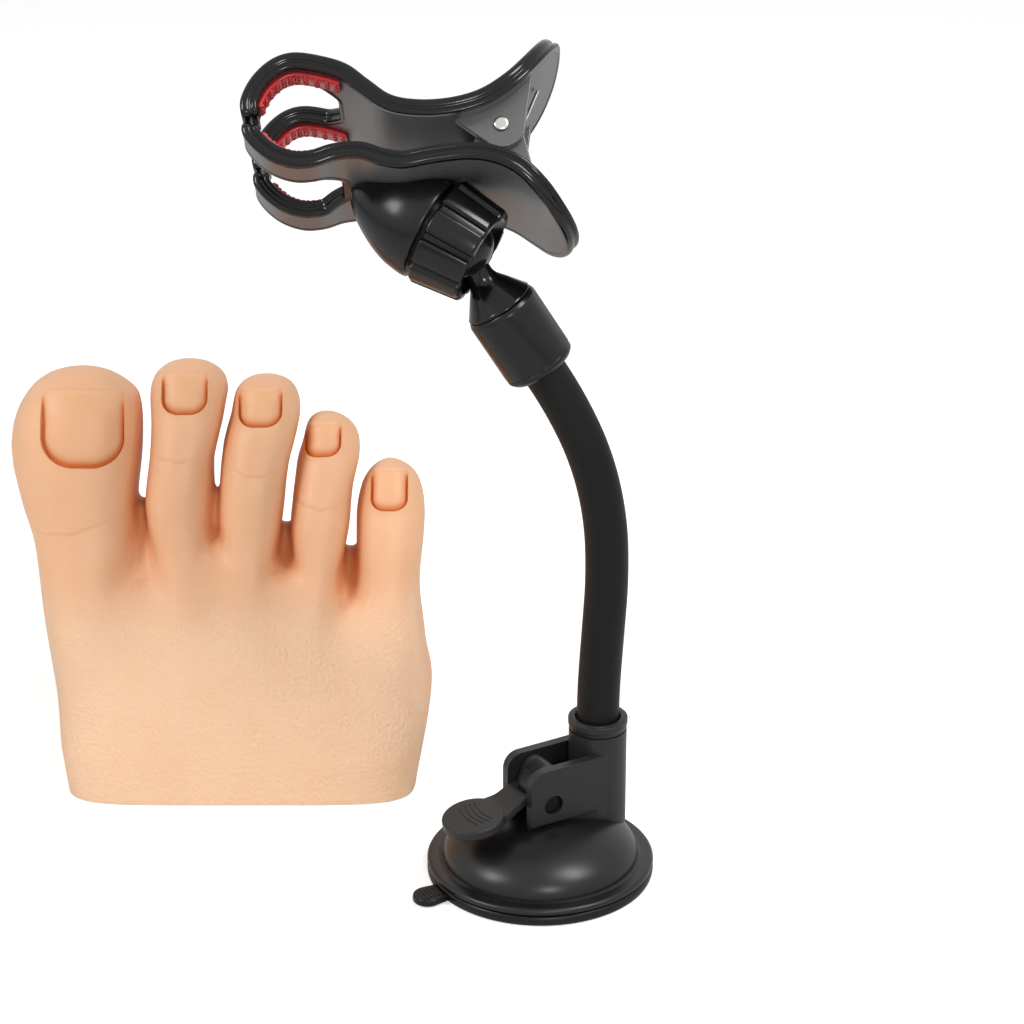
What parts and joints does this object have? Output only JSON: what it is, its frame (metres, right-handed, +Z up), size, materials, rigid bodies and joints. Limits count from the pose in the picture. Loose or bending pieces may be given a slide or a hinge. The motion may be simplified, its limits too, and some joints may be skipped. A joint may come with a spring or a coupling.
{
  "type": "nail practice foot",
  "caption": "Soft right practice foot with slotted nail beds, beside a suction-cup gooseneck holder whose ball joint carries a sprung double-forked clip with soft grips.",
  "frame": {"origin": "Middle of the flat cut face of the foot, on the table that foot and suction pad stand on.", "axes": "+Z up. -Y faces the person who works on the nails. +X points from the foot to its holder."},
  "size_m": [0.1801, 0.1303, 0.2252],
  "materials": {
    "skin_silicone": "satin silicone skin",
    "pad_rubber": "matte rubber",
    "satin_plastic": "satin moulded",
    "gloss_plastic": "gloss moulded",
    "sleeve_plastic": "satin extruded",
    "red_rubber": "glossy soft grip",
    "white_plastic": "satin",
    "steel": "bright steel"
  },
  "bodies": {
    "base": {"base_housing": "satin_plastic", "suction_pad": "pad_rubber", "lever_pin": "steel", "post_collar": "satin_plastic", "gooseneck_sleeve": "sleeve_plastic", "core_root": "steel"},
    "foot": {"practice_foot": "skin_silicone"},
    "lever": {"lever": "satin_plastic"},
    "pull_rod": {"pull_rod": "white_plastic"},
    "arm_1": {"core_link_1": "steel"},
    "arm_2": {"core_link_2": "steel"},
    "arm_3": {"core_link_3": "steel"},
    "arm_4": {"core_link_4": "steel"},
    "arm_5": {"core_link_5": "steel"},
    "arm_end": {"core_end": "steel", "ferrule": "satin_plastic", "ball_stud": "gloss_plastic"},
    "seat": {"ball_seat": "white_plastic"},
    "clip": {"socket_housing": "satin_plastic", "housing_screw_1": "steel", "housing_screw_2": "steel", "lower_shell": "satin_plastic", "grip_lower_near": "red_rubber", "grip_lower_far": "red_rubber", "hinge_pin": "steel", "torsion_spring": "steel"},
    "ring_nut": {"ring_nut": "gloss_plastic"},
    "upper_jaw": {"upper_shell": "satin_plastic", "grip_upper_near": "red_rubber", "grip_upper_far": "red_rubber"}
  },
  "joints": [
    {"name": "foot_lift", "type": "slide", "parent": "base", "child": "foot", "axis": [0, 0, 1], "range_m": [0, 0.1]},
    {"name": "lever_turn", "type": "hinge", "parent": "base", "child": "lever", "pos_m": [0.08374, -0.06115, 0.023], "axis": [-0.5, 0.866, 0], "range_deg": [0, 70], "deforming": ["suction_pad"]},
    {"name": "pull_rod_slide", "type": "slide", "parent": "base", "child": "pull_rod", "axis": [0, 0, 1], "range_m": [-0.0016, 0], "deforming": ["suction_pad"]},
    {"name": "arm_bend_1", "type": "hinge", "parent": "base", "child": "arm_1", "pos_m": [0.09942, -0.0521, 0.0492], "axis": [0, 1, 0], "range_deg": [-8, 20], "deforming": ["gooseneck_sleeve"]},
    {"name": "arm_sway_1", "type": "hinge", "parent": "arm_1", "child": "arm_2", "pos_m": [0.10045, -0.0521, 0.06617], "axis": [0.9981, 0, -0.061], "range_deg": [-8, 20], "deforming": ["gooseneck_sleeve"]},
    {"name": "arm_bend_2", "type": "hinge", "parent": "arm_2", "child": "arm_3", "pos_m": [0.10149, -0.0521, 0.08314], "axis": [0, 1, 0], "range_deg": [-8, 20], "deforming": ["gooseneck_sleeve"]},
    {"name": "arm_sway_2", "type": "hinge", "parent": "arm_3", "child": "arm_4", "pos_m": [0.10075, -0.0521, 0.10012], "axis": [0.9744, 0, 0.225], "range_deg": [-8, 20], "deforming": ["gooseneck_sleeve"]},
    {"name": "arm_bend_3", "type": "hinge", "parent": "arm_4", "child": "arm_5", "pos_m": [0.09692, -0.0521, 0.11668], "axis": [0, 1, 0], "range_deg": [-8, 20], "deforming": ["gooseneck_sleeve"]},
    {"name": "arm_sway_3", "type": "hinge", "parent": "arm_5", "child": "arm_end", "pos_m": [0.08987, -0.0521, 0.13215], "axis": [0.8443, 0, 0.5358], "range_deg": [-8, 20], "deforming": ["gooseneck_sleeve"]},
    {"name": "ball_tilt", "type": "hinge", "parent": "arm_end", "child": "seat", "pos_m": [0.06287, -0.0521, 0.17471], "axis": [0.4508, 0.8455, 0.2861], "range_deg": [0, 48]},
    {"name": "clip_spin", "type": "hinge", "parent": "seat", "child": "clip", "pos_m": [0.06287, -0.0521, 0.17471], "axis": [0.8572, -0.3206, -0.4031], "range_deg": [-40, 150]},
    {"name": "nut_turn", "type": "hinge", "parent": "clip", "child": "ring_nut", "pos_m": [0.06287, -0.0521, 0.17471], "axis": [0.8572, -0.3206, -0.4031], "range_deg": [0, 180]},
    {"name": "jaw_open", "type": "hinge", "parent": "clip", "child": "upper_jaw", "pos_m": [0.07377, -0.03666, 0.19412], "axis": [0, 0.7826, -0.6225], "range_deg": [0, 32], "stiffness_Nm_per_rad": 0.15, "springref_deg": -57.3, "deforming": ["torsion_spring"]}
  ],
  "couplings": [
    {"joint": "pull_rod_slide", "follows": "lever_turn", "m_per_rad": -0.0012206},
    {"joint": "arm_bend_2", "follows": "arm_bend_1", "ratio": 1},
    {"joint": "arm_bend_3", "follows": "arm_bend_1", "ratio": 1},
    {"joint": "arm_sway_2", "follows": "arm_sway_1", "ratio": 1},
    {"joint": "arm_sway_3", "follows": "arm_sway_1", "ratio": 1}
  ]
}
